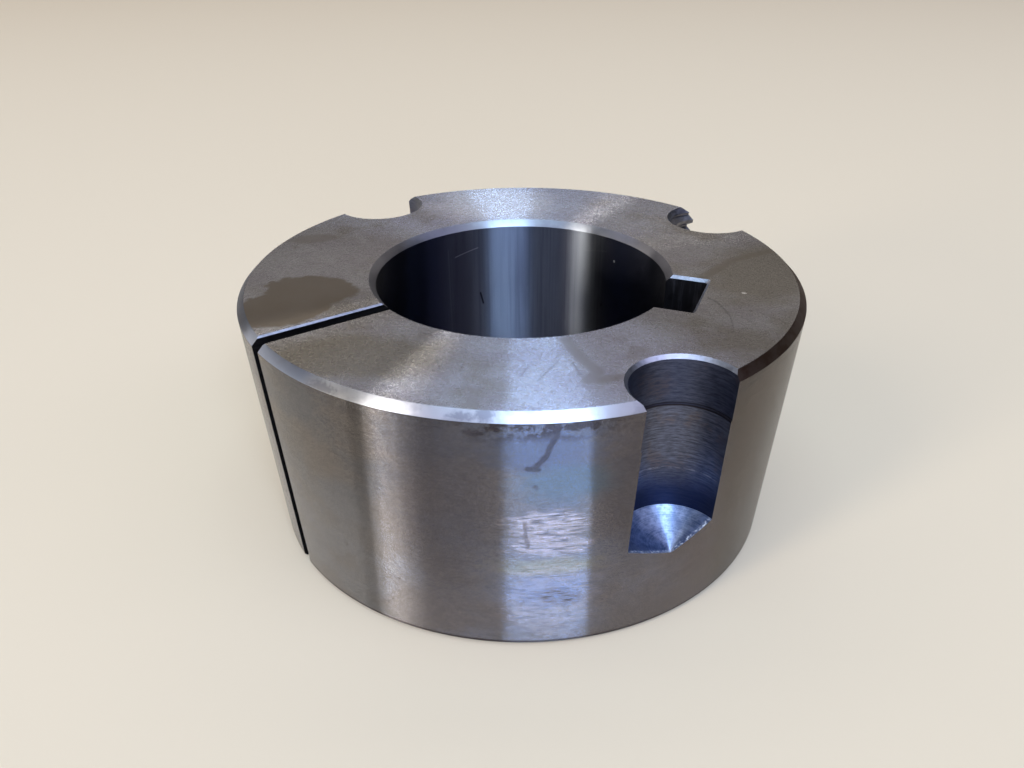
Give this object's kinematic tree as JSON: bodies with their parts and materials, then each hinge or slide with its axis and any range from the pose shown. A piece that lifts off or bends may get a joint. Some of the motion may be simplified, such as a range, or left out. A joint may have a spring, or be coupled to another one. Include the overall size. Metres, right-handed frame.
{
  "type": "taper bush",
  "caption": "Split taper bush with a keyed shaft bore, a tapered outside that seats in a hub, plain blind half holes for its screws and a threaded half hole to jack it loose.",
  "frame": {"origin": "on the bore axis, in the plane of the small end face that the bush stands on", "axes": "+Z along the bore from the small end to the large end, +X through the middle of the keyway"},
  "size_m": [0.0698, 0.0698, 0.0318],
  "materials": {
    "machined_steel": "turned, oiled, lightly stained"
  },
  "bodies": {
    "root": {"taper_bush": "machined_steel"}
  },
  "joints": []
}
